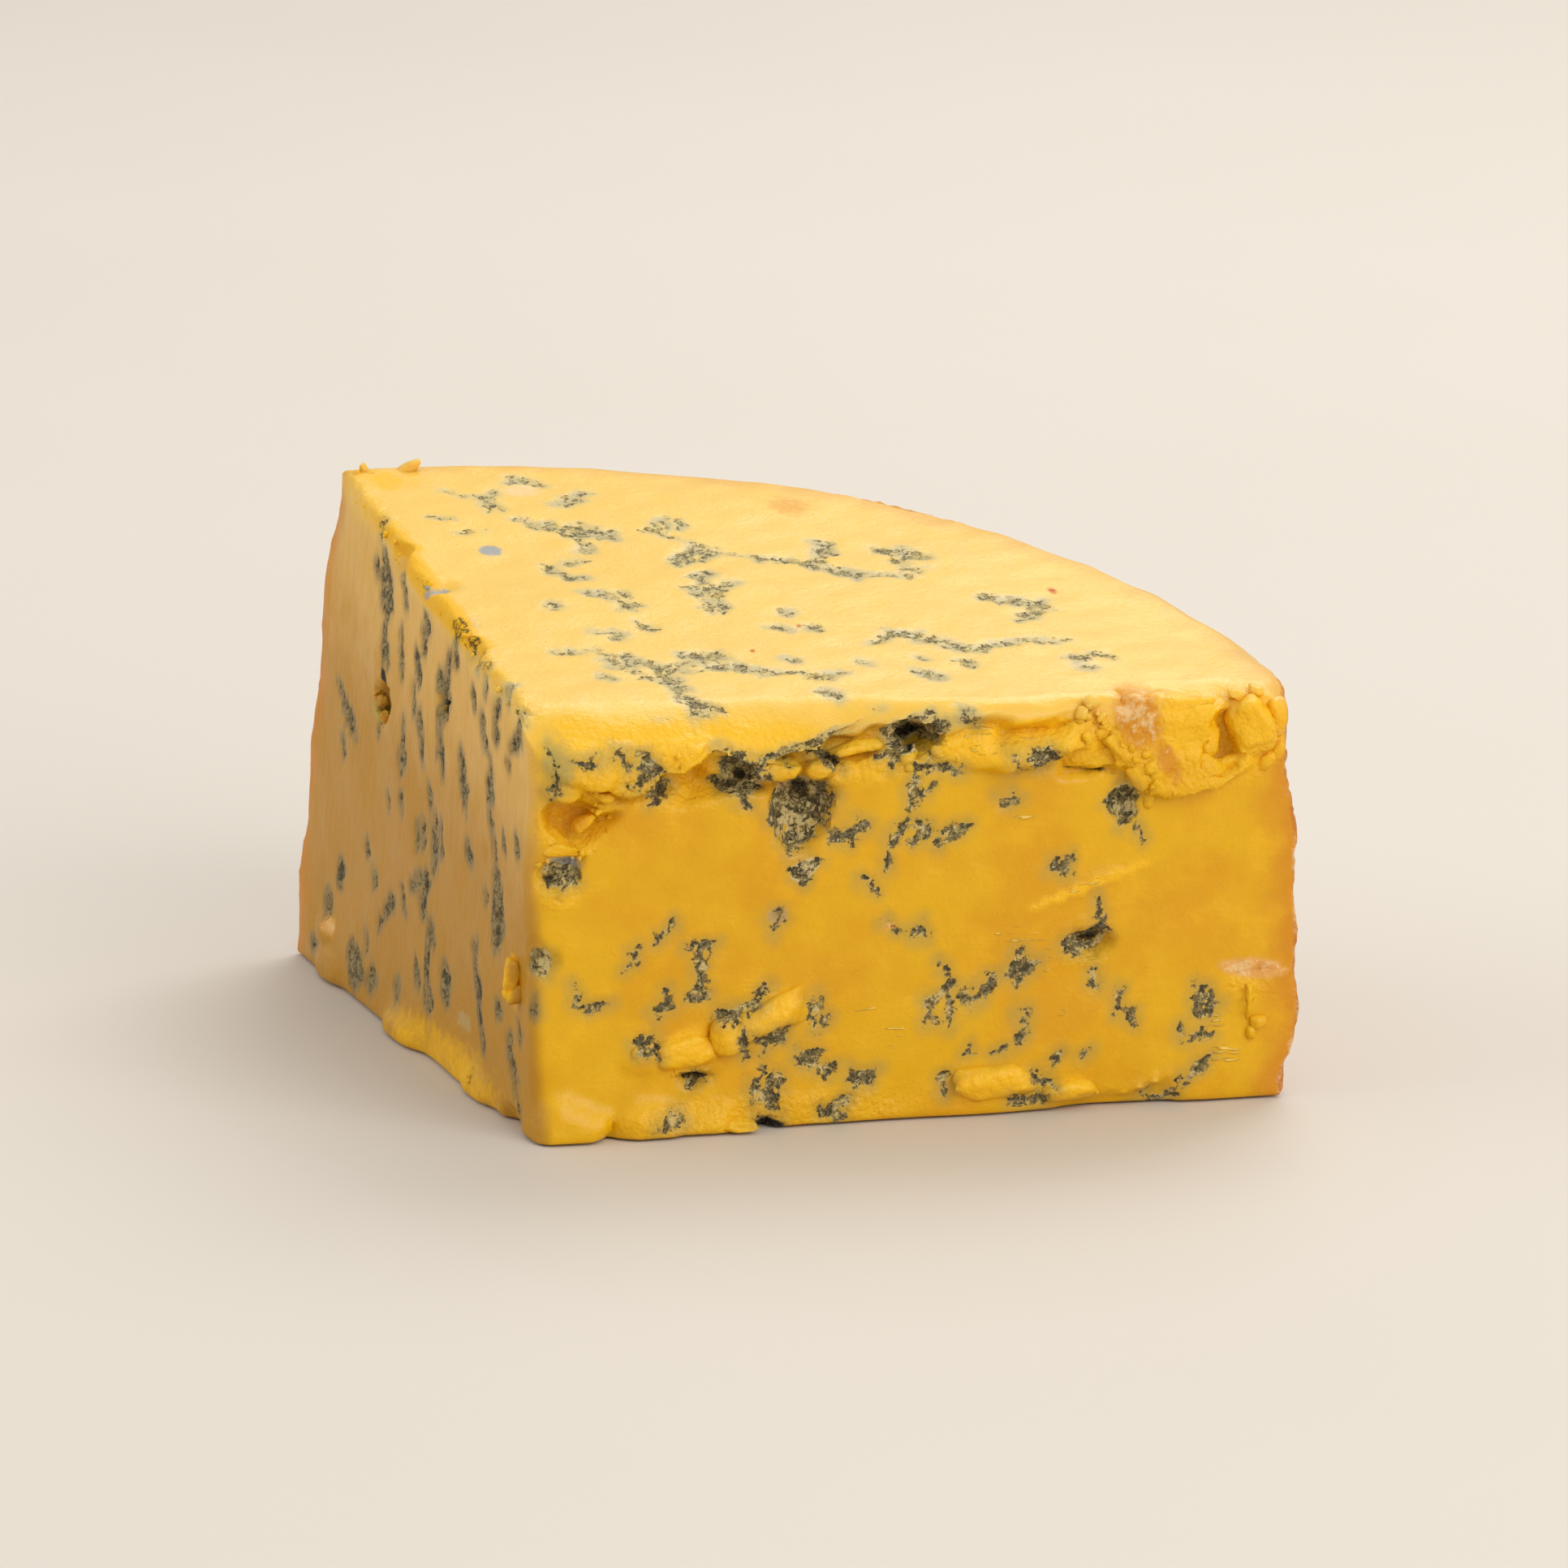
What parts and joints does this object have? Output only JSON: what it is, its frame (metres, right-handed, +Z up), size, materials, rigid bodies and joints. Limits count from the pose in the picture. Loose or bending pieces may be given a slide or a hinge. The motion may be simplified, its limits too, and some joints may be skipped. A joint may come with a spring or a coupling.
{
  "type": "blue cheese wedge",
  "caption": "Thick wedge cut from a drum of golden blue-veined cheese, with a pointed front, two cut faces, a crumbly torn top edge and a curved rind at the back.",
  "frame": {"origin": "centre of the bounding box at the underside, on the surface that the wedge rests on", "axes": "+X along the foot of the front cut face, from the point towards the rind; +Y towards the back; +Z up"},
  "size_m": [0.1163, 0.1051, 0.0697],
  "materials": {
    "cheese_paste": "smooth waxy golden paste with blue-green mould veins, thin orange-brown rind on the curved side"
  },
  "bodies": {
    "root": {"cheese_wedge": "cheese_paste"}
  },
  "joints": []
}
